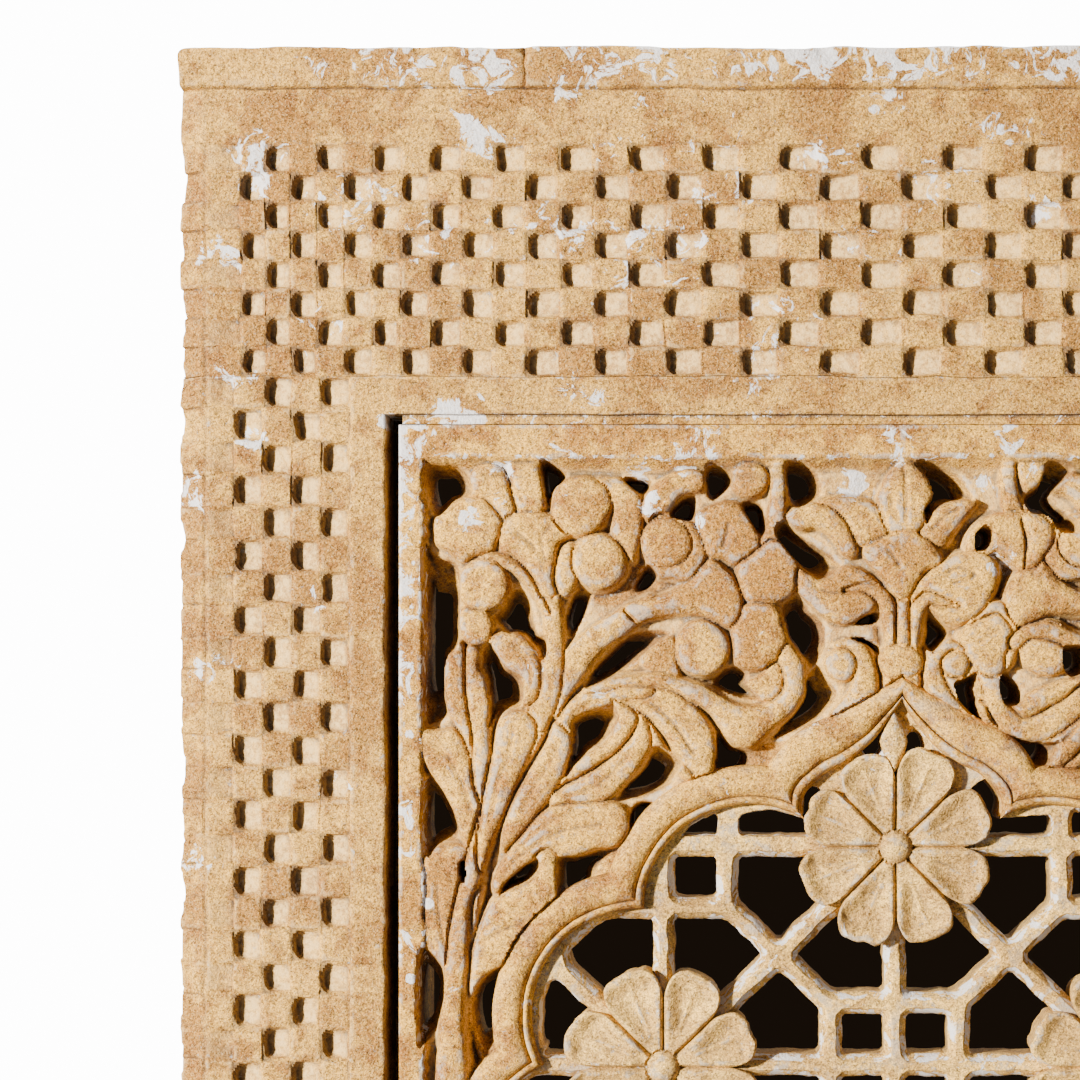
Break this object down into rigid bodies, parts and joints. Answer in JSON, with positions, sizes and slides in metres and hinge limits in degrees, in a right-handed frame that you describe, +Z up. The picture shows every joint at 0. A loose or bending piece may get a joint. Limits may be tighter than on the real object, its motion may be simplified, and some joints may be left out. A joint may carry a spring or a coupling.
{
  "type": "stone jali panel",
  "caption": "Carved sandstone window panel: a chequered border frame round a pierced slab with plant carving, a lobed ogee arch and a lattice with rosettes.",
  "frame": {"origin": "middle of the underside, on the surface that the panel stands on", "axes": "+Z up the panel, -Y out of the carved front, +X to the right as seen from the front"},
  "size_m": [0.9, 0.1, 1.005],
  "materials": {
    "border_stone": "hand-cut ochre sandstone with an orange-brown patina and remains of lime plaster",
    "slab_stone": "hand-carved yellow-tan sandstone, worn pale on its edges, with lime dust in the hollows"
  },
  "bodies": {
    "root": {"border_frame": "border_stone", "jali_slab": "slab_stone"}
  },
  "joints": []
}
